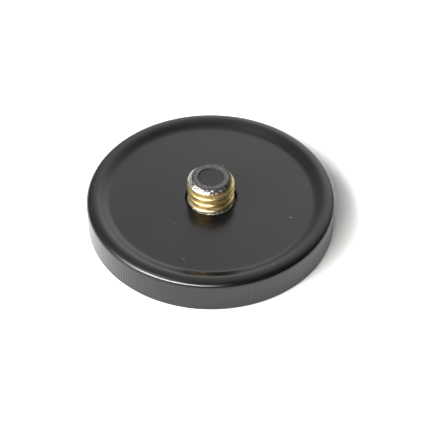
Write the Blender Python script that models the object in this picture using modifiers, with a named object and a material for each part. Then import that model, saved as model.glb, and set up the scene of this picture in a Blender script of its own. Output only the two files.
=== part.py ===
"""Magnetic security tag detacher: a round, knurled-edge puck with a threaded brass stud.

Metres, +Z up.  The origin is the centre of the base, on the surface the puck stands on,
and +Z runs up the stud.  A pressed shell (rounded rim, dished face, straight skirt) holds a
steel keeper plate, a ring of disc magnets in a moulded carrier and a screwed-on base cover.
A brass stud is clamped in the keeper by its collar and a thin nut, and stands up through the
shell's centre hole.
"""

import math

import bmesh
import bpy

MM = 0.001

# ---- driving dimensions, millimetres ---------------------------------------------------
DISC_DIAMETER = 50.0
DISC_HEIGHT = 7.0          # underside of the base pad to the top of the rim
SKIRT_BOTTOM_Z = 0.06      # the base pad stands this far proud of the skirt
SHELL_THICKNESS = 0.8
BEND_OUT = 1.7             # the outer bend is a quarter ellipse, this far in from the skirt
BEND_DOWN = 1.2            # and this far down from the crest
SKIRT_FOOT_RADIUS = 0.2    # rounding at the skirt's lower edge
FLOOR_Z = 6.10             # top of the dished floor
FLOOR_RADIUS = 20.3        # where the floor starts to rise into the rim
CREST_RADIUS = 23.15       # where the rise ends in the flat crest of the rim
SHELL_HOLE_RADIUS = 5.1

STUD_TOP_Z = 11.6
THREAD_DIAMETER = 9.525    # 3/8 in, 16 threads to the inch, right hand
THREAD_PITCH = 25.4 / 16
THREAD_DEPTH = 0.6134 * THREAD_PITCH
THREAD_START_Z = 0.40      # height at which a crest crosses +X
STUD_BORE_RADIUS = 2.5
STUD_FACE_RADIUS = 3.4     # flat part of the stud's end
STUD_SHOULDER_RADIUS = 3.9 # start of the lead-in chamfer
STUD_SHOULDER_DROP = 0.16
COLLAR_RADIUS = 6.9
COLLAR_Z = (4.50, 4.85)
STUD_BOTTOM_Z = 1.35

PIN_RADIUS = 2.35
PIN_Z = (1.45, 11.45)      # the pin's end sits a little below the stud's end face

SEAL_RADII = (4.95, 6.9)
SEAL_Z = (4.94, 5.20)

KEEPER_RADIUS = 23.85
KEEPER_Z = (3.0, 5.15)
KEEPER_BORE_RADIUS = 4.92
KEEPER_RECESS_RADIUS = 7.05
KEEPER_RECESS_Z = 4.35

WASHER_RADII = (4.95, 7.5)
WASHER_Z = (2.60, 2.86)
NUT_ACROSS_FLATS = 14.3
NUT_BORE_RADIUS = 4.92
NUT_Z = (1.45, 2.48)

CARRIER_RADII = (9.0, 23.7)
CARRIER_Z = (1.35, 2.85)
MAGNET_COUNT = 12
MAGNET_CIRCLE = 17.6
MAGNET_RADIUS = 4.0
MAGNET_POCKET_RADIUS = 4.15
MAGNET_CHAMFER = 0.18

COVER_RADIUS = 23.75
COVER_Z = (0.60, 1.20)

SCREW_COUNT = 4
SCREW_CIRCLE = 11.0
SCREW_ANGLE = 45.0
SCREW_SHANK_RADIUS = 0.95
SCREW_HEAD_RADIUS = 1.60
SCREW_Z = (0.62, 3.85)
SCREW_HEAD_HEIGHT = 0.58
SCREW_CLEARANCE = 0.12
SCREW_RECESS_DEPTH = 0.35

PAD_RADII = (13.2, 22.6)
PAD_Z = (0.0, 0.50)

ROUND_STEPS = 64           # divisible by four, so the widest points lie on X and Y
STUD_STEPS = 32
SMALL_STEPS = 20


# ---- scene set-up ------------------------------------------------------------------------
for old in list(bpy.data.objects):
    bpy.data.objects.remove(old, do_unlink=True)

parts = bpy.data.collections.new("security_tag_detacher")
cutters = bpy.data.collections.new("cutters")
for group in (parts, cutters):
    bpy.context.scene.collection.children.link(group)
cutters.hide_render = True


def make_material(name, colour, roughness, metallic):
    material = bpy.data.materials.new(name)
    material.use_nodes = True
    shader = material.node_tree.nodes["Principled BSDF"]
    shader.inputs["Base Color"].default_value = (*colour, 1.0)
    shader.inputs["Roughness"].default_value = roughness
    shader.inputs["Metallic"].default_value = metallic
    material.diffuse_color = (*colour, 1.0)
    return material


BLACK_COAT = make_material("black_coat", (0.022, 0.022, 0.023), 0.32, 0.0)
BRASS = make_material("brass", (0.70, 0.52, 0.22), 0.28, 1.0)
PIN_COAT = make_material("pin_coat", (0.030, 0.031, 0.033), 0.40, 0.0)
SEAL_RUBBER = make_material("seal_rubber", (0.015, 0.015, 0.015), 0.70, 0.0)
KEEPER_STEEL = make_material("keeper_steel", (0.55, 0.56, 0.58), 0.35, 1.0)
ZINC_STEEL = make_material("zinc_steel", (0.66, 0.67, 0.70), 0.30, 1.0)
MAGNET_NICKEL = make_material("magnet_nickel", (0.74, 0.73, 0.70), 0.14, 1.0)
CARRIER_PLASTIC = make_material("carrier_plastic", (0.045, 0.046, 0.050), 0.55, 0.0)
COVER_ALUMINIUM = make_material("cover_aluminium", (0.62, 0.63, 0.65), 0.38, 1.0)
PAD_RUBBER = make_material("pad_rubber", (0.024, 0.024, 0.025), 0.80, 0.0)


def link(obj, group, material=None):
    group.objects.link(obj)
    if material is not None:
        obj.data.materials.append(material)
    return obj


def add_screw(obj, steps):
    """Turns the object's profile, which lies in the XZ plane, once about Z."""
    turn = obj.modifiers.new("turn", "SCREW")
    turn.axis = "Z"
    turn.angle = math.tau
    turn.screw_offset = 0.0
    turn.steps = steps
    turn.render_steps = steps
    turn.use_merge_vertices = True
    turn.merge_threshold = 0.00001
    turn.use_smooth_shade = True
    turn.use_normal_calculate = False


def profile_mesh(name, points, closed):
    """A chain of (radius, height) points in millimetres, at +X, running down the outer side."""
    mesh = bpy.data.meshes.new(name)
    verts = [(r * MM, 0.0, z * MM) for r, z in points]
    edges = [(i, i + 1) for i in range(len(verts) - 1)]
    if closed:
        edges.append((len(verts) - 1, 0))
    mesh.from_pydata(verts, edges, [])
    return mesh


def turned(name, points, steps, closed, group, material=None):
    obj = bpy.data.objects.new(name, profile_mesh(name, points, closed))
    link(obj, group, material)
    add_screw(obj, steps)
    return obj


def settle(obj, sharp_angle=28.0):
    """Replaces an object's modifiers by the mesh they make, shaded smooth with sharp corners kept."""
    graph = bpy.context.evaluated_depsgraph_get()
    graph.update()
    mesh = bpy.data.meshes.new_from_object(obj.evaluated_get(graph))
    obj.modifiers.clear()
    obj.data = mesh
    mesh.name = obj.name
    mesh.shade_smooth()
    mesh.set_sharp_from_angle(angle=math.radians(sharp_angle))
    return obj


def cut(obj, cutter):
    cutter.hide_render = True
    cutter.display_type = "WIRE"
    boolean = obj.modifiers.new("cut", "BOOLEAN")
    boolean.operation = "DIFFERENCE"
    boolean.solver = "EXACT"
    boolean.object = cutter


def around(count, circle, start_degrees=0.0):
    """Centres of count items equally spaced on a circle."""
    for i in range(count):
        angle = math.radians(start_degrees) + math.tau * i / count
        yield circle * math.cos(angle), circle * math.sin(angle)


def stepped_holes(name, centres, steps, sections):
    """A cutter of round stepped plugs; sections are (radius_low, radius_high, z_low, z_high)."""
    mesh = bpy.data.meshes.new(name)
    bm = bmesh.new()
    for x, y in centres:
        rings = [(sections[0][2], sections[0][0])]
        for low_r, high_r, low_z, high_z in sections:
            if (low_z, low_r) != rings[-1]:
                rings.append((low_z, low_r))
            rings.append((high_z, high_r))
        loops = []
        for z, r in rings:
            loops.append([
                bm.verts.new((
                    (x + r * math.cos(math.tau * k / steps)) * MM,
                    (y + r * math.sin(math.tau * k / steps)) * MM,
                    z * MM,
                ))
                for k in range(steps)
            ])
        for low, high in zip(loops, loops[1:]):
            for k in range(steps):
                n = (k + 1) % steps
                bm.faces.new((low[k], low[n], high[n], high[k]))
        bm.faces.new(list(reversed(loops[0])))
        bm.faces.new(loops[-1])
    bm.to_mesh(mesh)
    bm.free()
    obj = bpy.data.objects.new(name, mesh)
    link(obj, cutters)
    return obj


def ring_profile(inner, outer, low, high, chamfer=0.0):
    """Closed section of a flat ring, with its lower corners chamfered if a chamfer is given."""
    c = chamfer
    if c == 0.0:
        return [(inner, high), (outer, high), (outer, low), (inner, low)]
    return [(inner, high), (outer, high), (outer, low + c), (outer - c, low), (inner + c, low), (inner, low + c)]


def disc_profile(radius, low, high, chamfer):
    """Open section of a flat disc, from the axis on top to the axis below."""
    c = chamfer
    return [(0.0, high), (radius - c, high), (radius, high - c), (radius, low + c), (radius - c, low), (0.0, low)]


# ---- housing shell -----------------------------------------------------------------------
def shell_outer_curve():
    """The shell's outer skin, from the centre hole outwards, over the rim and down the skirt.

    Each entry is (radius, height, outward normal)."""
    radius = DISC_DIAMETER / 2
    curve = [(SHELL_HOLE_RADIUS, FLOOR_Z, (0.0, 1.0))]
    width = CREST_RADIUS - FLOOR_RADIUS
    rise = DISC_HEIGHT - FLOOR_Z
    steps = 7
    for i in range(steps):
        u = i / steps
        r = FLOOR_RADIUS + width * u
        z = FLOOR_Z + rise * (1 - math.cos(math.pi * u)) / 2
        slope = rise / width * math.pi / 2 * math.sin(math.pi * u)
        length = math.hypot(1.0, slope)
        curve.append((r, z, (-slope / length, 1.0 / length)))
    bend_steps = 6
    for i in range(bend_steps + 1):
        a = math.pi / 2 * (1 - i / bend_steps)
        nr, nz = math.cos(a) / BEND_OUT, math.sin(a) / BEND_DOWN
        length = math.hypot(nr, nz)
        curve.append((
            radius - BEND_OUT + BEND_OUT * math.cos(a), DISC_HEIGHT - BEND_DOWN + BEND_DOWN * math.sin(a),
            (nr / length, nz / length),
        ))
    return curve


def shell_section():
    outer = shell_outer_curve()
    radius = DISC_DIAMETER / 2
    inner_radius = radius - SHELL_THICKNESS
    foot = SKIRT_FOOT_RADIUS
    section = [(r, z) for r, z, _ in outer]
    for i in range(4):
        a = -math.pi / 2 * i / 3
        section.append((radius - foot + foot * math.cos(a), SKIRT_BOTTOM_Z + foot + foot * math.sin(a)))
    section.append((inner_radius + 0.15, SKIRT_BOTTOM_Z))
    section.append((inner_radius, SKIRT_BOTTOM_Z + 0.15))
    for r, z, n in reversed(outer):
        section.append((r - SHELL_THICKNESS * n[0], z - SHELL_THICKNESS * n[1]))
    return section


settle(turned("housing_shell", shell_section(), ROUND_STEPS, True, parts, BLACK_COAT), 35.0)


# ---- threaded stud -----------------------------------------------------------------------
def thread_height(phase):
    """Height of a 60 degree thread above its root, 0 to 1, over one pitch."""
    phase %= 1.0
    crest, flank = 1 / 8, 5 / 16
    if phase < crest / 2 or phase > 1 - crest / 2:
        return 1.0
    if phase > 0.5:
        phase = 1 - phase
    return max(0.0, 1.0 - (phase - crest / 2) / flank)


def stud_section():
    """Closed section of the stud; the threaded lengths get a row of points every fifth of a pitch."""
    major = THREAD_DIAMETER / 2
    row = THREAD_PITCH / 5
    chamfer_z = STUD_TOP_Z - STUD_SHOULDER_DROP
    points = [(STUD_BORE_RADIUS, STUD_TOP_Z), (STUD_FACE_RADIUS, STUD_TOP_Z), (STUD_SHOULDER_RADIUS, chamfer_z)]
    rows = int((chamfer_z - 0.15 - (COLLAR_Z[1] + 0.12)) / row)
    points += [(major, chamfer_z - 0.15 - i * row) for i in range(rows + 1)]
    points += [(major - 0.45, COLLAR_Z[1]), (COLLAR_RADIUS - 0.1, COLLAR_Z[1]), (COLLAR_RADIUS, COLLAR_Z[1] - 0.1)]
    points += [(COLLAR_RADIUS, COLLAR_Z[0]), (major - 0.45, COLLAR_Z[0])]
    top = COLLAR_Z[0] - 0.2
    rows = int((top - STUD_BOTTOM_Z - 0.3) / row)
    points += [(major, top - i * row) for i in range(rows + 1)]
    points += [(major - 0.7, STUD_BOTTOM_Z), (STUD_BORE_RADIUS, STUD_BOTTOM_Z)]
    return points


def thread_surface(obj):
    """Moves the stud's outer points onto the helical thread and its lead-in chamfer."""
    major = THREAD_DIAMETER / 2
    root = major - THREAD_DEPTH
    for vertex in obj.data.vertices:
        x, y, z = (c / MM for c in vertex.co)
        r = math.hypot(x, y)
        if abs(r - major) > 0.01:
            continue
        turn = math.atan2(y, x) / math.tau
        wanted = root + THREAD_DEPTH * thread_height((z - THREAD_START_Z) / THREAD_PITCH - turn)
        lead_in = STUD_SHOULDER_RADIUS + (STUD_TOP_Z - STUD_SHOULDER_DROP - z)
        wanted = min(wanted, lead_in)
        vertex.co.x *= wanted / r
        vertex.co.y *= wanted / r


stud = settle(turned("threaded_stud", stud_section(), STUD_STEPS, True, parts, BRASS))
thread_surface(stud)
stud.data.set_sharp_from_angle(angle=math.radians(50.0))

settle(turned("core_pin", disc_profile(PIN_RADIUS, *PIN_Z, 0.12), SMALL_STEPS, False, parts, PIN_COAT))
settle(turned("stud_seal", ring_profile(*SEAL_RADII, *SEAL_Z), STUD_STEPS, True, parts, SEAL_RUBBER))
settle(turned("stud_lock_washer", ring_profile(*WASHER_RADII, *WASHER_Z), STUD_STEPS, True, parts, ZINC_STEEL))


# ---- thin hexagon nut --------------------------------------------------------------------
def hexagon_nut():
    low, high = NUT_Z
    mesh = bpy.data.meshes.new("stud_nut")
    bm = bmesh.new()
    bmesh.ops.create_cone(
        bm, cap_ends=True, segments=6, radius1=NUT_ACROSS_FLATS / math.sqrt(3) * MM,
        radius2=NUT_ACROSS_FLATS / math.sqrt(3) * MM, depth=(high - low) * MM,
    )
    bmesh.ops.translate(bm, verts=bm.verts, vec=(0, 0, (low + high) / 2 * MM))
    bm.to_mesh(mesh)
    bm.free()
    nut = link(bpy.data.objects.new("stud_nut", mesh), parts, BRASS)
    bore = stepped_holes("nut_bore", [(0.0, 0.0)], STUD_STEPS, [
        (NUT_BORE_RADIUS + 0.3, NUT_BORE_RADIUS, low - 0.2, low + 0.15),
        (NUT_BORE_RADIUS, NUT_BORE_RADIUS, low + 0.15, high + 0.3),
    ])
    cut(nut, bore)
    corners = turned("nut_corner_cone", [
        (NUT_ACROSS_FLATS / 2 + 0.35, high + 1.0), (NUT_ACROSS_FLATS / 2 + 0.35, high - 0.30),
        (NUT_ACROSS_FLATS / 2 - 0.15, low - 0.10), (NUT_ACROSS_FLATS / 2 - 0.15, low - 1.0),
        (NUT_ACROSS_FLATS / 2 + 3.0, low - 1.0), (NUT_ACROSS_FLATS / 2 + 3.0, high + 1.0),
    ][::-1], STUD_STEPS, True, cutters)
    cut(nut, corners)
    return settle(nut)


hexagon_nut()


# ---- keeper plate ------------------------------------------------------------------------
screw_centres = list(around(SCREW_COUNT, SCREW_CIRCLE, SCREW_ANGLE))
low, high = KEEPER_Z
c = 0.15
keeper = turned("keeper_plate", [
    (KEEPER_RECESS_RADIUS, high), (KEEPER_RADIUS - c, high), (KEEPER_RADIUS, high - c), (KEEPER_RADIUS, low + c),
    (KEEPER_RADIUS - c, low), (KEEPER_BORE_RADIUS, low), (KEEPER_BORE_RADIUS, KEEPER_RECESS_Z),
    (KEEPER_RECESS_RADIUS, KEEPER_RECESS_Z),
], ROUND_STEPS, True, parts, KEEPER_STEEL)
cut(keeper, stepped_holes("keeper_screw_holes", screw_centres, SMALL_STEPS // 2, [
    (SCREW_SHANK_RADIUS + SCREW_CLEARANCE, SCREW_SHANK_RADIUS + SCREW_CLEARANCE, low - 0.5, SCREW_Z[1] + 0.15),
]))
settle(keeper)


# ---- magnet carrier and magnets ----------------------------------------------------------
magnet_centres = list(around(MAGNET_COUNT, MAGNET_CIRCLE))
low, high = CARRIER_Z
carrier = turned("magnet_carrier", ring_profile(*CARRIER_RADII, low, high), ROUND_STEPS, True, parts, CARRIER_PLASTIC)
cut(carrier, stepped_holes("carrier_pockets", magnet_centres, SMALL_STEPS, [
    (MAGNET_POCKET_RADIUS, MAGNET_POCKET_RADIUS, low - 0.5, high + 0.5),
]))
cut(carrier, stepped_holes("carrier_screw_holes", screw_centres, SMALL_STEPS // 2, [
    (SCREW_SHANK_RADIUS + 0.25, SCREW_SHANK_RADIUS + 0.25, low - 0.5, high + 0.5),
]))
settle(carrier)

magnet = turned(
    "magnet_01", disc_profile(MAGNET_RADIUS, CARRIER_Z[0], CARRIER_Z[1], MAGNET_CHAMFER), SMALL_STEPS, False, parts, MAGNET_NICKEL
)
settle(magnet)
for number, (x, y) in enumerate(magnet_centres, start=1):
    copy = magnet if number == 1 else bpy.data.objects.new(f"magnet_{number:02d}", magnet.data)
    if number > 1:
        parts.objects.link(copy)
    copy.location = (x * MM, y * MM, 0.0)


# ---- base cover, its screws and the base pad ---------------------------------------------
low, high = COVER_Z
cover = turned("base_cover", disc_profile(COVER_RADIUS, low, high, 0.12), ROUND_STEPS, False, parts, COVER_ALUMINIUM)
head_top = SCREW_Z[0] + SCREW_HEAD_HEIGHT
cut(cover, stepped_holes("cover_countersinks", screw_centres, SMALL_STEPS, [
    (
        SCREW_HEAD_RADIUS + SCREW_CLEARANCE, SCREW_HEAD_RADIUS + SCREW_CLEARANCE, low - 0.5, SCREW_Z[0],
    ),
    (SCREW_HEAD_RADIUS + SCREW_CLEARANCE, SCREW_SHANK_RADIUS + SCREW_CLEARANCE, SCREW_Z[0], head_top),
    (SCREW_SHANK_RADIUS + SCREW_CLEARANCE, SCREW_SHANK_RADIUS + SCREW_CLEARANCE, head_top, high + 0.5),
]))
settle(cover)


def countersunk_screw():
    """Low-head countersunk screw, head down, with a cross recess in the head."""
    low, high = SCREW_Z
    screw = turned("cover_screw_1", [
        (0.0, high), (SCREW_SHANK_RADIUS - 0.2, high), (SCREW_SHANK_RADIUS, high - 0.2),
        (SCREW_SHANK_RADIUS, head_top), (SCREW_HEAD_RADIUS, low + 0.06), (SCREW_HEAD_RADIUS - 0.05, low), (0.0, low),
    ], SMALL_STEPS, False, parts, ZINC_STEEL)
    mesh = bpy.data.meshes.new("screw_recess")
    bm = bmesh.new()
    arm, width = 0.95, 0.28
    outline = [
        (arm, width), (width, width), (width, arm), (-width, arm), (-width, width), (-arm, width),
        (-arm, -width), (-width, -width), (-width, -arm), (width, -arm), (width, -width), (arm, -width),
    ]
    wide = [bm.verts.new((x * MM, y * MM, (low - 0.3) * MM)) for x, y in outline]
    deep = [bm.verts.new((x * 0.7 * MM, y * 0.7 * MM, (low + SCREW_RECESS_DEPTH) * MM)) for x, y in outline]
    count = len(outline)
    for k in range(count):
        n = (k + 1) % count
        bm.faces.new((wide[k], wide[n], deep[n], deep[k]))
    bm.faces.new(wide[::-1])
    bm.faces.new(deep)
    bmesh.ops.recalc_face_normals(bm, faces=bm.faces)
    bm.to_mesh(mesh)
    bm.free()
    cutter = link(bpy.data.objects.new("screw_recess", mesh), cutters)
    cut(screw, cutter)
    return settle(screw)


first = countersunk_screw()
for number, (x, y) in enumerate(screw_centres, start=1):
    copy = first if number == 1 else bpy.data.objects.new(f"cover_screw_{number}", first.data)
    if number > 1:
        parts.objects.link(copy)
    copy.location = (x * MM, y * MM, 0.0)
    copy.rotation_euler = (0.0, 0.0, math.radians(17.0 + 29.0 * number))

settle(turned("base_pad_ring", ring_profile(*PAD_RADII, *PAD_Z, 0.08), ROUND_STEPS, True, parts, PAD_RUBBER))
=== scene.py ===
import math

import bmesh
import bpy
from mathutils import Matrix, Vector, noise


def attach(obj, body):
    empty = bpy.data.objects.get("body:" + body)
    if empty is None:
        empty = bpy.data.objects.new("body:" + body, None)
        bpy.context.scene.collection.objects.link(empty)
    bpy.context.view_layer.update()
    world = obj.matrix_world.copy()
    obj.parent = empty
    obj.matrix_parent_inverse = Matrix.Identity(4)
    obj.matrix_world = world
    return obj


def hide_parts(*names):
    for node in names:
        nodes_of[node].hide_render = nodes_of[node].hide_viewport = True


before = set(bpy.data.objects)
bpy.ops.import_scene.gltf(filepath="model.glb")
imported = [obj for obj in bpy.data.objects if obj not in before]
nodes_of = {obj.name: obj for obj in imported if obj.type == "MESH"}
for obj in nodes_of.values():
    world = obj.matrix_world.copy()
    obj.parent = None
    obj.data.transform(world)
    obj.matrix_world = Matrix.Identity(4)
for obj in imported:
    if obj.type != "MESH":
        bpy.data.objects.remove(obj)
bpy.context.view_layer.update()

MM = 0.001
TAU = math.tau
scene = bpy.context.scene

# ---- driving dimensions, millimetres, as in the CAD ------------------------------------
RADIUS = 25.0
HEIGHT = 7.0
FOOT_Z = 0.02
WALL = 0.8
CREST_R = 23.15
BEND_OUT = 1.7
BEND_DOWN = 1.2
FLOOR_Z = 6.10
FLOOR_R = 20.3
HOLE_R = 5.1
RIBS = 240
RIB_DEPTH = 0.032
PITCH = 25.4 / 16
MAJOR = 9.525 / 2
ROOT = MAJOR - 0.6134 * PITCH
STUD_TOP = 11.6
THREAD_START = 0.40


# ---- node helpers ------------------------------------------------------------------------
class Nodes:
    """Small helper that builds a Principled material from noise, masks and ramps."""

    def __init__(self, name):
        self.mat = bpy.data.materials.new(name)
        self.mat.use_nodes = True
        self.tree = self.mat.node_tree
        self.shader = self.tree.nodes["Principled BSDF"]
        self.coord = self.new("ShaderNodeTexCoord")

    def new(self, kind, **props):
        node = self.tree.nodes.new(kind)
        for key, value in props.items():
            setattr(node, key, value)
        return node

    def link(self, out, socket):
        self.tree.links.new(out, socket)

    def put(self, node, name, value):
        socket = node.inputs[name]
        if isinstance(value, bpy.types.NodeSocket):
            self.link(value, socket)
        else:
            socket.default_value = value

    def set(self, name, value):
        self.put(self.shader, name, value)

    def position(self, scale=(1.0, 1.0, 1.0)):
        mapping = self.new("ShaderNodeMapping")
        mapping.inputs["Scale"].default_value = scale
        self.link(self.coord.outputs["Object"], mapping.inputs["Vector"])
        return mapping.outputs["Vector"]

    def noise(self, scale, detail=3.0, rough=0.55, vector=None, distortion=0.0):
        node = self.new("ShaderNodeTexNoise")
        node.inputs["Scale"].default_value = scale
        node.inputs["Detail"].default_value = detail
        node.inputs["Roughness"].default_value = rough
        node.inputs["Distortion"].default_value = distortion
        self.link(vector if vector is not None else self.position(), node.inputs["Vector"])
        return node.outputs["Fac"]

    def cells(self, scale, vector=None, feature="F1", randomness=1.0):
        node = self.new("ShaderNodeTexVoronoi", feature=feature)
        node.inputs["Scale"].default_value = scale
        node.inputs["Randomness"].default_value = randomness
        self.link(vector if vector is not None else self.position(), node.inputs["Vector"])
        return node.outputs["Distance"]

    def math(self, operation, a, b=None, c=None, clamp=False):
        node = self.new("ShaderNodeMath", operation=operation, use_clamp=clamp)
        for i, value in enumerate((a, b, c)):
            if value is None:
                continue
            if isinstance(value, bpy.types.NodeSocket):
                self.link(value, node.inputs[i])
            else:
                node.inputs[i].default_value = value
        return node.outputs[0]

    def span(self, value, low, high, to_low=0.0, to_high=1.0, smooth=True):
        node = self.new("ShaderNodeMapRange", interpolation_type="SMOOTHSTEP" if smooth else "LINEAR")
        self.put(node, "Value", value)
        for key, number in (("From Min", low), ("From Max", high), ("To Min", to_low), ("To Max", to_high)):
            self.put(node, key, number)
        return node.outputs["Result"]

    def mix(self, factor, a, b):
        node = self.new("ShaderNodeMix", data_type="RGBA")
        if isinstance(factor, bpy.types.NodeSocket):
            self.link(factor, node.inputs[0])
        else:
            node.inputs[0].default_value = factor
        for socket, value in ((node.inputs[6], a), (node.inputs[7], b)):
            if isinstance(value, bpy.types.NodeSocket):
                self.link(value, socket)
            else:
                socket.default_value = (*value, 1.0)
        return node.outputs[2]

    def xyz(self):
        split = self.new("ShaderNodeSeparateXYZ")
        self.link(self.coord.outputs["Object"], split.inputs[0])
        return split.outputs

    def radius(self):
        x, y, _ = self.xyz()
        return self.math("SQRT", self.math("ADD", self.math("MULTIPLY", x, x), self.math("MULTIPLY", y, y)))

    def bump(self, height, distance, strength=1.0, normal=None):
        node = self.new("ShaderNodeBump")
        node.inputs["Strength"].default_value = strength
        node.inputs["Distance"].default_value = distance
        self.link(height, node.inputs["Height"])
        if normal is not None:
            self.link(normal, node.inputs["Normal"])
        return node.outputs["Normal"]


# ---- materials ---------------------------------------------------------------------------
def black_coat():
    """Baked satin-black coating: near black, faint orange peel, fine grain, a few dust specks."""
    n = Nodes("black_coat")
    peel = n.noise(650.0, 2.0, 0.5)
    grain = n.noise(5200.0, 3.0, 0.6)
    cloud = n.noise(95.0, 2.0, 0.5)
    specks = n.cells(460.0)
    speck_size = n.noise(240.0, 1.0, 0.5)
    speck = n.math("MULTIPLY", n.span(specks, 0.080, 0.045), n.span(speck_size, 0.60, 0.66))
    dust = n.math("MULTIPLY", n.span(n.cells(1900.0), 0.22, 0.10), n.span(n.noise(900.0, 3.0, 0.6), 0.54, 0.64))
    x, y, _ = n.xyz()
    for nx, ny, size in ((0.0158, -0.0060, 0.00030), (0.0024, 0.0092, 0.00022), (-0.0052, -0.0174, 0.00022)):
        dx, dy = n.math("SUBTRACT", x, nx), n.math("SUBTRACT", y, ny)
        away = n.math("SQRT", n.math("ADD", n.math("MULTIPLY", dx, dx), n.math("MULTIPLY", dy, dy)))
        speck = n.math("MAXIMUM", speck, n.span(away, size, size * 0.35))
    base = n.mix(n.span(cloud, 0.3, 0.7), (0.0016, 0.0016, 0.0017), (0.0028, 0.0027, 0.0026))
    base = n.mix(n.math("MULTIPLY", dust, 0.75), base, (0.016, 0.0155, 0.015))
    base = n.mix(speck, base, (0.052, 0.051, 0.048))
    n.set("Base Color", base)
    n.set("Roughness", n.math("ADD", n.span(cloud, 0.25, 0.75, 0.205, 0.24), n.span(grain, 0.2, 0.8, -0.02, 0.03)))
    n.set("IOR", 1.5)
    n.set("Normal", n.bump(grain, 0.0000022, 1.0, n.bump(peel, 0.0000035, 1.0)))
    return n.mat


def stud_brass():
    """Turned brass; black coating left on the end and over part of the lead-in, worn off unevenly round the edge."""
    n = Nodes("stud_brass")
    x, y, z = n.xyz()
    r = n.radius()
    chips = n.noise(2600.0, 4.0, 0.65)
    fine = n.noise(9000.0, 3.0, 0.6)
    broad = n.noise(480.0, 2.0, 0.5)

    def side(east, north, start, full):
        """1 on the side of the stud that faces the given way, 0 elsewhere."""
        size = math.hypot(east, north)
        dot = n.math("ADD", n.math("MULTIPLY", x, east / size), n.math("MULTIPLY", y, north / size))
        return n.span(n.math("DIVIDE", dot, r), start, full)

    left = side(-1.0, -0.10, 0.35, 0.90)
    right = side(1.0, 0.05, 0.88, 0.98)
    heavy = side(0.66, -0.75, 0.70, 0.92)
    back = side(0.1, 1.0, 0.30, 0.85)
    # height above which the coating is still there
    line = n.math("ADD", 0.01086, n.math("MULTIPLY", left, 0.00040))
    line = n.math("ADD", line, n.math("MULTIPLY", right, 0.00052))
    line = n.math("SUBTRACT", line, n.math("MULTIPLY", heavy, 0.00022))
    line = n.math("SUBTRACT", line, n.math("MULTIPLY", back, 0.00030))
    speckle = n.noise(3400.0, 4.0, 0.75)
    streak = n.noise(1.0, 4.0, 0.7, n.position((1600.0, 1600.0, 5200.0)))
    ragged = n.math("ADD", n.math("MULTIPLY", n.math("SUBTRACT", speckle, 0.5), 0.0062), n.math("MULTIPLY", n.math("SUBTRACT", streak, 0.5), 0.0018))
    line = n.math("ADD", line, ragged)
    on_end = n.span(n.math("SUBTRACT", z, line), -0.00007, 0.00007)
    on_face = n.span(r, 0.00395, 0.00375)
    # coating and dirt left low down on the stud, and loose flecks in the thread
    low_line = n.math("ADD", 0.00535, n.math("MULTIPLY", chips, 0.0016))
    on_foot = n.math("MULTIPLY", n.span(n.math("SUBTRACT", low_line, z), -0.00006, 0.00006), n.span(fine, 0.40, 0.50))
    flecks = n.math("MULTIPLY", n.span(chips, 0.56, 0.62), n.span(fine, 0.46, 0.54))
    coat = n.math("MAXIMUM", n.math("MAXIMUM", on_end, on_face), n.math("MAXIMUM", on_foot, n.math("MULTIPLY", flecks, n.span(r, 0.00465, 0.0043))))
    tarnish = n.math("MULTIPLY", n.span(r, 0.00455, 0.00395), n.span(broad, 0.2, 0.55, 0.65, 1.0))
    metal = n.mix(n.span(broad, 0.35, 0.65), (0.76, 0.60, 0.25), (0.56, 0.45, 0.21))
    metal = n.mix(tarnish, metal, (0.25, 0.155, 0.055))
    silvered = n.math("MULTIPLY", n.span(z, 0.0103, 0.0108), n.math("SUBTRACT", 1.0, n.math("MULTIPLY", right, 0.85)))
    silvered = n.math("MULTIPLY", silvered, n.span(fine, 0.30, 0.55, 0.55, 1.0))
    metal = n.mix(silvered, metal, n.mix(n.span(speckle, 0.35, 0.60), (0.42, 0.40, 0.36), (0.86, 0.84, 0.78)))
    foot = n.math("MULTIPLY", n.span(z, 0.0066, 0.0061), n.span(chips, 0.4, 0.6))
    metal = n.mix(foot, metal, (0.80, 0.77, 0.68))
    face = n.mix(n.span(speckle, 0.38, 0.62), (0.010, 0.010, 0.010), (0.050, 0.050, 0.049))
    inner = n.mix(n.span(speckle, 0.35, 0.65), (0.002, 0.002, 0.002), (0.012, 0.012, 0.012))
    face = n.mix(n.span(r, 0.00245, 0.00300), inner, face)
    black = n.mix(n.span(r, 0.00345, 0.00360), face, n.mix(n.span(speckle, 0.5, 0.7), (0.0015, 0.0015, 0.0016), (0.050, 0.048, 0.045)))
    n.set("Base Color", n.mix(coat, metal, black))
    n.set("Metallic", n.math("SUBTRACT", 1.0, coat))
    metal_rough = n.span(fine, 0.2, 0.8, 0.17, 0.33)
    n.set("Roughness", n.math("ADD", n.math("MULTIPLY", coat, 0.14), n.math("ADD", metal_rough, n.math("MULTIPLY", tarnish, 0.12))))
    n.set("IOR", 1.5)
    turned = n.noise(1.0, 2.0, 0.6, n.position((500.0, 500.0, 14000.0)))
    height = n.math("ADD", n.math("MULTIPLY", coat, 1.0), n.math("ADD", n.math("MULTIPLY", fine, 0.5), n.math("MULTIPLY", turned, 0.35)))
    n.set("Normal", n.bump(height, 0.000012, 0.8))
    return n.mat


def pin_coat():
    """Black coating over a steel pin: mottled, with small scuffs that show grey."""
    n = Nodes("pin_coat")
    mottle = n.noise(2400.0, 4.0, 0.65)
    scuff = n.noise(1500.0, 5.0, 0.7, n.position((1.0, 2.2, 1.0)))
    base = n.mix(n.span(mottle, 0.35, 0.65), (0.0016, 0.0016, 0.0018), (0.0062, 0.0062, 0.0064))
    base = n.mix(n.span(scuff, 0.60, 0.70), base, (0.022, 0.022, 0.021))
    n.set("Base Color", base)
    n.set("Roughness", n.span(mottle, 0.3, 0.7, 0.22, 0.44))
    n.set("IOR", 1.45)
    n.set("Normal", n.bump(n.noise(4200.0, 3.0, 0.6), 0.000009, 1.0))
    return n.mat


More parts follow.
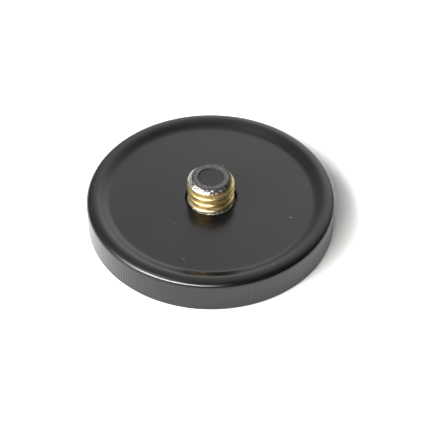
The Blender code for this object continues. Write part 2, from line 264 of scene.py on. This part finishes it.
def turned_metal(name, light, dark, rough_low, rough_high, rings=9000.0, stain=(0.3, 0.27, 0.22), stain_amount=0.25):
    """Metal faced on a lathe: fine concentric rings and light staining."""
    n = Nodes(name)
    r = n.radius()
    combine = n.new("ShaderNodeCombineXYZ")
    n.link(r, combine.inputs[0])
    n.link(n.xyz()[2], combine.inputs[2])
    ring = n.noise(rings, 3.0, 0.7, combine.outputs[0])
    cloud = n.noise(180.0, 4.0, 0.6)
    grain = n.noise(6000.0, 2.0, 0.5)
    base = n.mix(ring, dark, light)
    base = n.mix(n.math("MULTIPLY", n.span(cloud, 0.52, 0.75), stain_amount), base, stain)
    n.set("Base Color", base)
    n.set("Metallic", 1.0)
    n.set("Roughness", n.math("ADD", n.span(cloud, 0.2, 0.8, rough_low, rough_high), n.math("MULTIPLY", grain, 0.04)))
    n.set("Normal", n.bump(ring, 0.000006, 0.7))
    return n.mat


def zinc(name="zinc_plate"):
    """Bright zinc plate: faint warm and blue clouds, fine grain."""
    n = Nodes(name)
    cloud = n.noise(420.0, 3.0, 0.6)
    grain = n.noise(7000.0, 3.0, 0.6)
    base = n.mix(n.span(cloud, 0.3, 0.7), (0.60, 0.62, 0.66), (0.70, 0.69, 0.64))
    n.set("Base Color", base)
    n.set("Metallic", 1.0)
    n.set("Roughness", n.span(grain, 0.2, 0.8, 0.22, 0.34))
    n.set("Normal", n.bump(grain, 0.000003, 0.8))
    return n.mat


def nickel():
    n = Nodes("nickel_plate")
    cloud = n.noise(260.0, 2.0, 0.5)
    scratch = n.noise(1.0, 4.0, 0.7, n.position((900.0, 9000.0, 900.0)))
    n.set("Base Color", n.mix(n.span(cloud, 0.3, 0.7), (0.70, 0.68, 0.64), (0.76, 0.75, 0.72)))
    n.set("Metallic", 1.0)
    n.set("Roughness", n.span(scratch, 0.3, 0.8, 0.10, 0.20))
    n.set("Normal", n.bump(scratch, 0.000002, 0.6))
    return n.mat


def moulded_plastic():
    n = Nodes("moulded_nylon")
    spark = n.noise(3800.0, 3.0, 0.6)
    flow = n.noise(160.0, 3.0, 0.6)
    n.set("Base Color", n.mix(flow, (0.030, 0.031, 0.034), (0.050, 0.051, 0.055)))
    n.set("Roughness", n.span(spark, 0.2, 0.8, 0.46, 0.60))
    n.set("IOR", 1.5)
    n.set("Normal", n.bump(spark, 0.00001, 0.8))
    return n.mat


def rubber(name, light=(0.030, 0.030, 0.031), dark=(0.018, 0.018, 0.019)):
    """Matte black rubber with a fine grain, dusty in patches."""
    n = Nodes(name)
    grain = n.noise(4200.0, 4.0, 0.65)
    dust = n.noise(230.0, 5.0, 0.65)
    base = n.mix(grain, dark, light)
    base = n.mix(n.math("MULTIPLY", n.span(dust, 0.55, 0.8), 0.35), base, (0.11, 0.105, 0.10))
    n.set("Base Color", base)
    n.set("Roughness", n.span(grain, 0.2, 0.8, 0.70, 0.88))
    n.set("IOR", 1.5)
    n.set("Normal", n.bump(grain, 0.00002, 0.9))
    return n.mat


BLACK = black_coat()
BRASS = stud_brass()
PIN = pin_coat()
KEEPER = turned_metal("keeper_steel", (0.56, 0.56, 0.57), (0.46, 0.46, 0.48), 0.26, 0.38)
COVER = turned_metal("cover_aluminium", (0.66, 0.67, 0.69), (0.56, 0.57, 0.59), 0.28, 0.40, rings=12000.0, stain=(0.42, 0.42, 0.43), stain_amount=0.2)
NUT_BRASS = turned_metal("nut_brass", (0.80, 0.62, 0.29), (0.70, 0.52, 0.22), 0.22, 0.36, stain=(0.38, 0.25, 0.10), stain_amount=0.5)
ZINC = zinc()
NICKEL = nickel()
NYLON = moulded_plastic()
PAD = rubber("pad_rubber")
SEAL = rubber("seal_rubber", (0.016, 0.016, 0.016), (0.009, 0.009, 0.009))


# ---- mesh helpers ------------------------------------------------------------------------
class Rings:
    """Builds a closed or open skin from rings of points; neighbouring rings may differ in count by a whole factor."""

    def __init__(self):
        self.bm = bmesh.new()
        self.rings = []

    def ring(self, count, point, phase=0.0):
        verts = []
        for k in range(count):
            a = TAU * (k + phase) / count
            r, z = point(a)
            verts.append(self.bm.verts.new((r * math.cos(a) * MM, r * math.sin(a) * MM, z * MM)))
        self.rings.append(verts)
        return verts

    def flat(self, count, r, z):
        return self.ring(count, lambda a: (r, z))

    def join(self, upper, lower):
        """Faces between two rings; the upper ring is the one nearer the start of a profile that runs down the outer side."""
        n, m = len(upper), len(lower)
        if n == m:
            for k in range(n):
                j = (k + 1) % n
                self.bm.faces.new((upper[k], lower[k], lower[j], upper[j]))
        elif n > m:
            f = n // m
            for k in range(m):
                j = (k + 1) % m
                fan = [upper[(k * f + i) % n] for i in range(f + 1)]
                half = f // 2
                for i in range(f):
                    self.bm.faces.new((fan[i], lower[k] if i < half or f == 1 else lower[j], fan[i + 1]))
                self.bm.faces.new((fan[half], lower[k], lower[j]))
        else:
            f = m // n
            for k in range(n):
                j = (k + 1) % n
                fan = [lower[(k * f + i) % m] for i in range(f + 1)]
                half = f // 2
                for i in range(f):
                    self.bm.faces.new((upper[k] if i < half else upper[j], fan[i], fan[i + 1]))
                self.bm.faces.new((upper[k], fan[half], upper[j]))

    def close(self, loop=True):
        for a, b in zip(self.rings, self.rings[1:]):
            self.join(a, b)
        if loop:
            self.join(self.rings[-1], self.rings[0])

    def cap(self, index, flip=False):
        verts = list(self.rings[index])
        self.bm.faces.new(verts[::-1] if flip else verts)

    def done(self, name, material, sharp=40.0, move=None):
        bmesh.ops.recalc_face_normals(self.bm, faces=self.bm.faces)
        mesh = bpy.data.meshes.new(name)
        self.bm.to_mesh(mesh)
        self.bm.free()
        return finish_piece(name, mesh, material, sharp, move)


def finish_piece(name, mesh, material, sharp=40.0, move=None):
    if move is not None:
        mesh.transform(move)
    obj = bpy.data.objects.new(name, mesh)
    scene.collection.objects.link(obj)
    mesh.materials.append(material)
    mesh.shade_smooth()
    mesh.set_sharp_from_angle(angle=math.radians(sharp))
    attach(obj, "root")
    return obj


def arc(cx, cz, radius, start, end, steps):
    """Points of an arc in the profile plane; angles in degrees from +r towards +z."""
    for i in range(steps + 1):
        a = math.radians(start + (end - start) * i / steps)
        yield cx + radius * math.cos(a), cz + radius * math.sin(a)


# ---- housing shell -----------------------------------------------------------------------
def rim_curve(steps):
    """Outer skin of the rim from the dished floor to the crest, with outward normals."""
    width = CREST_R - FLOOR_R
    rise = HEIGHT - FLOOR_Z
    for i in range(steps + 1):
        u = i / steps
        slope = rise / width * math.pi / 2 * math.sin(math.pi * u)
        length = math.hypot(1.0, slope)
        yield FLOOR_R + width * u, FLOOR_Z + rise * (1 - math.cos(math.pi * u)) / 2, -slope / length, 1 / length


# small raised nibs and dust grains trapped under the coating: (x, y, radius, height)
NIBS = [
    (15.8, -6.0, 0.36, 0.12), (2.4, 9.2, 0.18, 0.08), (-5.2, -17.4, 0.22, 0.09),
    (-9.5, 6.6, 0.12, 0.03), (8.8, -11.8, 0.12, 0.03), (11.6, 8.2, 0.11, 0.03), (-12.6, -4.6, 0.12, 0.035),
    (4.2, -14.6, 0.10, 0.03), (-3.4, 15.2, 0.12, 0.03),
]


def housing_shell():
    g = Rings()
    cols = RIBS * 2
    # hole edge, floor
    g.flat(cols // 2, HOLE_R, FLOOR_Z - WALL)
    g.flat(cols // 2, HOLE_R - 0.06, FLOOR_Z - WALL + 0.10)
    for r, z in ((-0.06, -0.34), (-0.03, -0.22), (0.04, -0.11), (0.14, -0.03), (0.28, 0.0)):
        g.flat(cols // 2, HOLE_R + r, FLOOR_Z + z)
    r = HOLE_R + 0.6
    while r < FLOOR_R - 0.3:
        g.flat(cols // 2, r, FLOOR_Z)
        r += 0.55
    for r, z, _, _ in rim_curve(18):
        g.flat(cols // 2, r, z)
    for i in range(1, 19):
        a = math.pi / 2 * (1 - i / 18)
        g.flat(cols // 2, RADIUS - BEND_OUT + BEND_OUT * math.cos(a), HEIGHT - BEND_DOWN + BEND_DOWN * math.sin(a))
    # knurled band: each rib is eight columns wide, rounded over the crest, with run-outs above and below
    top, bottom = 5.50, 0.75
    fine = RIBS * 8

    def knurl(depth, z):
        def point(a):
            u = (a / TAU * RIBS) % 1.0
            dip = abs(2 * u - 1)
            dip = dip ** 1.35
            return RADIUS - depth * dip, z
        return point

    g.flat(cols // 2, RADIUS, top + 0.06)
    for z, part in ((top, 0.0), (top - 0.10, 0.45), (top - 0.24, 0.9), (top - 0.40, 1.0), ((top + bottom) / 2, 1.0), (bottom + 0.34, 1.0), (bottom + 0.2, 0.85), (bottom + 0.08, 0.4), (bottom, 0.0)):
        g.ring(fine, knurl(RIB_DEPTH * part, z))
    g.flat(cols // 2, RADIUS, bottom - 0.06)
    for i, (r, z) in enumerate(arc(RADIUS - 0.2, FOOT_Z + 0.2, 0.2, 0, -90, 5)):
        g.flat(cols // 2, r, z)
    # lower edge and inside
    inner = RADIUS - WALL
    g.flat(cols // 2, inner + 0.12, FOOT_Z)
    g.flat(cols // 2, inner, FOOT_Z + 0.12)
    inside = [(r - WALL * nr, z - WALL * nz) for r, z, nr, nz in rim_curve(10)]
    inside += [(RADIUS - WALL - 0.7 + 0.7 * math.cos(a), HEIGHT - BEND_DOWN + (BEND_DOWN - WALL) * math.sin(a)) for a in (math.radians(d) for d in (60, 30, 0))]
    for r, z in reversed(inside):
        g.flat(cols // 2, r, z)
    g.close(loop=True)
    bm = g.bm
    # nibs: small domes pulled up out of the dished floor
    bm.normal_update()
    for x, y, radius, height in NIBS:
        near = [f for f in bm.faces if abs(f.calc_center_median().z - FLOOR_Z * MM) < 1e-6 and (f.calc_center_median().xy - Vector((x, y)) * MM).length < (radius + 0.45) * MM]
        edges = list({e for f in near for e in f.edges})
        if edges:
            bmesh.ops.subdivide_edges(bm, edges=edges, cuts=5, use_grid_fill=True)
    for v in bm.verts:
        if abs(v.co.z - FLOOR_Z * MM) > 1e-6:
            continue
        for x, y, radius, height in NIBS:
            d = (v.co.xy / MM - Vector((x, y))).length / radius
            if d < 1.0:
                v.co.z += height * MM * (1 - d * d) ** 1.5
    return g.done("housing_shell_coated", BLACK, 50.0)


shell = housing_shell()
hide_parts("housing_shell")


# ---- threaded stud -----------------------------------------------------------------------
def thread_height(phase):
    """60 degree thread, 0 at the root and 1 at the crest, with rounded crest and root."""
    phase %= 1.0
    if phase > 0.5:
        phase = 1 - phase
    raw = 1.0 - (phase - 1 / 16) / (5 / 16)
    raw = min(1.2, max(-0.2, raw))
    soft = 0.26
    if raw > 1 - soft:
        raw = 1 - soft + soft * math.tanh((raw - 1 + soft) / soft)
    if raw < soft:
        raw = soft + soft * math.tanh((raw - soft) / soft)
    return raw


def threaded_stud():
    g = Rings()
    cols = 240
    face, shoulder = 3.4, 3.9
    chamfer_z = STUD_TOP - 0.16

    def wobble(a, z, size, amount):
        p = Vector((math.cos(a) * MAJOR, math.sin(a) * MAJOR, z)) / size
        return noise.noise(p) * amount

    def surface(z):
        def point(a):
            wanted = ROOT + (MAJOR - ROOT) * thread_height((z - THREAD_START) / PITCH - a / TAU)
            wear = max(0.0, wobble(a, z, 0.55, 1.0)) * 0.06 + abs(wobble(a, z, 0.16, 1.0)) * 0.035
            wanted -= wear * max(0.0, (wanted - ROOT) / (MAJOR - ROOT)) ** 2
            lead = shoulder + (chamfer_z - z) * 1.02 - abs(wobble(a, z * 1.7, 0.22, 0.09))
            # ragged band low on the stud, where the thread runs out into the coating
            low = 5.72 + wobble(a, 3.1, 0.8, 0.25)
            if z < low:
                t = min(1.0, (low - z) / 0.25)
                out = MAJOR - 0.10 - abs(wobble(a, z, 0.24, 0.22))
                wanted = wanted * (1 - t) + max(wanted, out) * t
            return min(wanted, max(lead, face)), z
        return point

    bore = 2.5
    g.flat(cols // 4, bore, 1.35)
    g.flat(cols // 4, bore, 6.0)
    g.flat(cols // 2, bore, STUD_TOP - 0.35)
    g.flat(cols, bore, STUD_TOP - 0.06)
    g.flat(cols, bore + 0.06, STUD_TOP)
    for r in (2.75, 3.0, 3.3):
        g.flat(cols, r, STUD_TOP)
    for r, z in ((3.50, 11.597), (3.62, 11.580), (3.72, 11.548), (3.82, 11.50)):
        g.flat(cols, r, z)
    g.ring(cols, lambda a: (shoulder + 0.02 - abs(wobble(a, 11.4, 0.25, 0.06)), chamfer_z))
    z = chamfer_z - 0.05
    step = PITCH / 26
    while z > 4.97:
        g.ring(cols, surface(z))
        z -= step
    g.flat(cols, MAJOR - 0.45, 4.85)
    g.flat(cols // 2, 6.8, 4.85)
    g.flat(cols // 2, 6.9, 4.75)
    g.flat(cols // 2, 6.9, 4.50)
    g.flat(cols // 2, MAJOR - 0.45, 4.50)
    z = 4.30
    while z > 1.65:
        g.ring(cols // 2, lambda a, z=z: (ROOT + (MAJOR - ROOT) * thread_height((z - THREAD_START) / PITCH - a / TAU), z))
        z -= PITCH / 12
    g.flat(cols // 2, MAJOR - 0.7, 1.35)
    g.close(loop=True)
    return g.done("threaded_stud_worn", BRASS, 55.0)


stud = threaded_stud()
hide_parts("threaded_stud")


# ---- core pin ----------------------------------------------------------------------------
def core_pin():
    g = Rings()
    cols = 96
    top = 11.45
    profile = [(0.35, top - 0.012), (0.9, top - 0.010), (1.5, top - 0.005), (2.0, top), (2.3, top)]
    profile += list(arc(2.47 - 0.05, top - 0.05, 0.05, 80, 0, 4))
    profile += [(2.47, 6.0), (2.47, 1.60), (2.37, 1.45), (1.0, 1.45)]
    for r, z in profile:
        g.flat(cols, r, z)
    g.close(loop=False)
    g.cap(0, flip=True)
    g.cap(-1)
    return g.done("core_pin_coated", PIN, 35.0)


pin = core_pin()
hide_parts("core_pin")


# ---- base cover with countersinks, screws and pad ----------------------------------------
SCREW_POINTS = [(11.0 * math.cos(math.radians(45 + 90 * i)), 11.0 * math.sin(math.radians(45 + 90 * i))) for i in range(4)]


def apply_modifiers(obj):
    graph = bpy.context.evaluated_depsgraph_get()
    graph.update()
    mesh = bpy.data.meshes.new_from_object(obj.evaluated_get(graph))
    obj.modifiers.clear()
    obj.data = mesh
    return mesh


def base_cover():
    g = Rings()
    cols = 240
    c = 0.12
    for r, z in ((0.5, 1.2), (10.0, 1.2), (23.75 - c, 1.2), (23.75, 1.2 - c), (23.75, 0.6 + c), (23.75 - c, 0.6), (23.2, 0.6), (23.1, 0.64), (22.9, 0.64), (22.8, 0.6), (10.0, 0.6), (0.5, 0.6)):
        g.flat(cols, r, z)
    g.close(loop=False)
    g.cap(0, flip=True)
    g.cap(-1)
    bmesh.ops.recalc_face_normals(g.bm, faces=g.bm.faces)
    mesh = bpy.data.meshes.new("base_cover_plate")
    g.bm.to_mesh(mesh)
    g.bm.free()
    plate = bpy.data.objects.new("base_cover_plate", mesh)
    scene.collection.objects.link(plate)
    cut = Rings()
    sides = 48
    mesh = bpy.data.meshes.new("sinks")
    for x, y in SCREW_POINTS:
        rings = []
        for r, z in ((1.72, 0.4), (1.72, 0.62), (1.07, 1.20), (1.07, 1.4)):
            rings.append([cut.bm.verts.new(((x + r * math.cos(TAU * k / sides)) * MM, (y + r * math.sin(TAU * k / sides)) * MM, z * MM)) for k in range(sides)])
        for a, b in zip(rings, rings[1:]):
            for k in range(sides):
                j = (k + 1) % sides
                cut.bm.faces.new((a[k], a[j], b[j], b[k]))
        cut.bm.faces.new(rings[0][::-1])
        cut.bm.faces.new(rings[-1])
    cut.bm.to_mesh(mesh)
    cut.bm.free()
    cutter = bpy.data.objects.new("sinks", mesh)
    scene.collection.objects.link(cutter)
    boolean = plate.modifiers.new("cut", "BOOLEAN")
    boolean.operation, boolean.solver, boolean.object = "DIFFERENCE", "EXACT", cutter
    apply_modifiers(plate)
    bpy.data.objects.remove(cutter)
    plate.data.materials.clear()
    plate.data.materials.append(COVER)
    plate.data.shade_smooth()
    plate.data.set_sharp_from_angle(angle=math.radians(25))
    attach(plate, "root")
    return plate


cover = base_cover()
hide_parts("base_cover")


def cover_screw(number, x, y):
    """Countersunk screw, head down, with a tapered cross recess and a rolled thread."""
    g = Rings()
    cols = 72
    head_top = 0.62 + 0.58
    arm, half, depth = 0.95, 0.26, 0.36

    def inside_cross(px, py, t):
        s = 1 - 0.3 * t
        ax, ay = abs(px), abs(py)
        return (ax < arm * s and ay < half * s) or (ay < arm * s and ax < half * s)

    # head face as a fine polar grid so that the recess can be pressed in
    rings = 26
    for i in range(rings):
        r = 0.04 + (1.53 - 0.04) * i / (rings - 1)

        def point(a, r=r):
            px, py = r * math.cos(a), r * math.sin(a)
            ax, ay = abs(px), abs(py)
            d = min(max(ax - arm, ay - half), max(ay - arm, ax - half))
            t = min(1.0, max(0.0, -d / 0.09))
            return r, 0.62 + depth * t * t * (3 - 2 * t)
        g.ring(cols, point)
    for r, z in ((1.57, 0.63), (1.60, 0.67), (0.97, head_top), (0.95, head_top + 0.05)):
        g.flat(cols, r, z)
    z = head_top + 0.1
    pitch = 0.4
    while z < 3.7:
        g.ring(cols, lambda a, z=z: (0.95 - 0.17 * abs(2 * ((z / pitch + a / TAU) % 1.0) - 1), z))
        z += pitch / 8
    g.flat(cols, 0.80, 3.75)
    g.flat(cols, 0.62, 3.85)
    g.close(loop=False)
    g.cap(0, flip=True)
    g.cap(-1)
    turn = Matrix.Translation((x * MM, y * MM, 0)) @ Matrix.Rotation(math.radians(17.0 + 29.0 * number), 4, "Z")
    obj = g.done(f"cover_screw_{number}_head", ZINC, 38.0, turn)
    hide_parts(f"cover_screw_{number}")
    return obj


for i, (sx, sy) in enumerate(SCREW_POINTS, start=1):
    cover_screw(i, sx, sy)


def base_pad():
    """Flat rubber ring with rounded edges and shallow concentric grooves underneath."""
    g = Rings()
    cols = 240
    inner, outer, top = 13.2, 22.6, 0.5
    profile = [(inner, top), (outer, top)]
    profile += list(arc(outer - 0.16, 0.16, 0.16, 0, -90, 4))
    r = outer - 0.9
    while r > inner + 0.9:
        profile += [(r + 0.22, 0.0), (r + 0.13, 0.13), (r - 0.13, 0.13), (r - 0.22, 0.0)]
        r -= 0.95
    profile += list(arc(inner + 0.16, 0.16, 0.16, -90, -180, 4))
    for r, z in profile:
        g.flat(cols, r, z)
    g.close(loop=True)
    return g.done("base_pad_grooved", PAD, 30.0)


pad = base_pad()
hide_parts("base_pad_ring")


# ---- inner pieces keep their CAD shape and get finished materials --------------------------
def dress(node, material):
    mesh = nodes_of[node].data
    if len(mesh.materials) == 0:
        mesh.materials.append(material)
    for i in range(len(mesh.materials)):
        mesh.materials[i] = material


dress("keeper_plate", KEEPER)
dress("stud_nut", NUT_BRASS)
dress("stud_lock_washer", ZINC)
dress("magnet_carrier", NYLON)
dress("stud_seal", SEAL)
for i in range(1, 13):
    dress(f"magnet_{i:02d}", NICKEL)


# ---- floor, light and camera ---------------------------------------------------------------
def plain(name, colour, roughness):
    material = bpy.data.materials.new(name)
    material.use_nodes = True
    shader = material.node_tree.nodes["Principled BSDF"]
    shader.inputs["Base Color"].default_value = (*colour, 1.0)
    shader.inputs["Roughness"].default_value = roughness
    shader.inputs["IOR"].default_value = 1.1
    return material


mesh = bpy.data.meshes.new("floor")
size = 3.0
mesh.from_pydata([(-size, -size, 0), (size, -size, 0), (size, size, 0), (-size, size, 0)], [], [(0, 1, 2, 3)])
floor = bpy.data.objects.new("floor", mesh)
floor.location = (0, 0, -0.00002)
scene.collection.objects.link(floor)
mesh.materials.append(plain("floor_white", (0.60, 0.595, 0.59), 0.9))


def direction(azimuth, elevation):
    """Unit vector; azimuth 0 is towards the camera side (-Y) and grows towards +X."""
    a, e = math.radians(azimuth), math.radians(elevation)
    return Vector((math.sin(a) * math.cos(e), -math.cos(a) * math.cos(e), math.sin(e)))


def studio(base, lobes):
    """World light: a plain base level and a few broad soft lobes; the camera itself sees plain white."""
    world = bpy.data.worlds.new("studio")
    scene.world = world
    world.use_nodes = True
    tree = world.node_tree
    tree.nodes.clear()

    def new(kind, **props):
        node = tree.nodes.new(kind)
        for key, value in props.items():
            setattr(node, key, value)
        return node

    coord = new("ShaderNodeTexCoord")
    total = None
    for azimuth, elevation, amount, sharpness in lobes:
        dot = new("ShaderNodeVectorMath", operation="DOT_PRODUCT")
        tree.links.new(coord.outputs["Generated"], dot.inputs[0])
        dot.inputs[1].default_value = direction(azimuth, elevation)
        scaled = new("ShaderNodeMath", operation="MULTIPLY_ADD")
        tree.links.new(dot.outputs["Value"], scaled.inputs[0])
        scaled.inputs[1].default_value = sharpness
        scaled.inputs[2].default_value = -sharpness
        power = new("ShaderNodeMath", operation="EXPONENT")
        tree.links.new(scaled.outputs[0], power.inputs[0])
        weighed = new("ShaderNodeMath", operation="MULTIPLY_ADD")
        tree.links.new(power.outputs[0], weighed.inputs[0])
        weighed.inputs[1].default_value = amount
        if total is None:
            weighed.inputs[2].default_value = base
        else:
            tree.links.new(total, weighed.inputs[2])
        total = weighed.outputs[0]
    soft = new("ShaderNodeBackground")
    soft.inputs["Color"].default_value = (1.0, 0.995, 0.985, 1.0)
    tree.links.new(total, soft.inputs["Strength"])
    white = new("ShaderNodeBackground")
    white.inputs["Color"].default_value = (1, 1, 1, 1)
    white.inputs["Strength"].default_value = 1.0
    path = new("ShaderNodeLightPath")
    mix = new("ShaderNodeMixShader")
    out = new("ShaderNodeOutputWorld")
    tree.links.new(path.outputs["Is Camera Ray"], mix.inputs[0])
    tree.links.new(soft.outputs[0], mix.inputs[1])
    tree.links.new(white.outputs[0], mix.inputs[2])
    tree.links.new(mix.outputs[0], out.inputs["Surface"])


studio(0.0, [
    (-180, 8, 0.42, 14.0), (-60, 8, 1.0, 14.0), (-30, 8, 0.85, 14.0), (150, 8, 0.40, 14.0),
    (-165, 30, 0.60, 14.0), (135, 30, 0.65, 14.0), (165, 30, 1.45, 14.0),
    (-180, 52, 0.10, 14.0), (135, 52, 0.35, 14.0), (-158, 75, 0.80, 14.0),
    (-98, 16, 0.4, 60.0), (-82, 16, 0.7, 60.0), (-66, 16, 1.6, 60.0),
    (-130, 31, 0.4, 60.0), (-114, 31, 0.25, 60.0), (-82, 31, 1.8, 60.0), (-66, 31, 16.0, 60.0),
    (-114, 46, 0.35, 60.0), (-98, 46, 0.6, 60.0), (-66, 61, 3.0, 60.0),
    (-54, 35, 46.0, 160.0), (-40, 38, 50.0, 200.0), (-28, 39, 44.0, 220.0), (-16, 40, 36.0, 220.0), (-4, 40, 22.0, 220.0),
])


def softbox(name, azimuth, elevation, distance, width, height, radiance, colour=(1, 1, 1)):
    light = bpy.data.lights.new(name, "AREA")
    light.shape = "RECTANGLE"
    light.size, light.size_y = width, height
    light.energy = radiance * math.pi * width * height
    light.color = colour
    obj = bpy.data.objects.new(name, light)
    obj.location = direction(azimuth, elevation) * distance
    obj.rotation_euler = (-direction(azimuth, elevation)).to_track_quat("-Z", "Y").to_euler()
    scene.collection.objects.link(obj)
    return obj


fill = softbox("fill", -80, 38, 3.0, 3.2, 1.8, 14.0)
fill.visible_glossy = False

# camera: same view as the reference, 12 disc radii away, 45 degrees up
E = math.radians(44.831)
PSI, TH, ROLL = -0.00282, 0.002231, -0.002273
DIST = 12 * RADIUS * MM
FOCAL_PX = math.exp(7.292961728667789)
position = Vector((0.0, -DIST * math.cos(E), DIST * math.sin(E)))
forward = (-position).normalized()
right = Vector((1.0, 0.0, 0.0))
up = right.cross(forward)


def spun(vector, axis, angle):
    return Matrix.Rotation(angle, 3, axis) @ vector


forward, right = spun(forward, up, PSI), spun(right, up, PSI)
forward, up = spun(forward, right, TH), spun(up, right, TH)
right, up = spun(right, forward, ROLL), spun(up, forward, ROLL)
camera = bpy.data.cameras.new("camera")
camera.sensor_width = 36.0
camera.lens = FOCAL_PX / 430 * 36.0
camera.clip_start, camera.clip_end = 0.01, 20.0
eye = bpy.data.objects.new("camera", camera)
basis = Matrix((right, up, -forward)).transposed()
eye.matrix_world = Matrix.Translation(position) @ basis.to_4x4()
scene.collection.objects.link(eye)
scene.camera = eye

scene.view_settings.view_transform = "Standard"
scene.view_settings.look = "None"
scene.view_settings.exposure = 0.0
scene.view_settings.gamma = 1.0
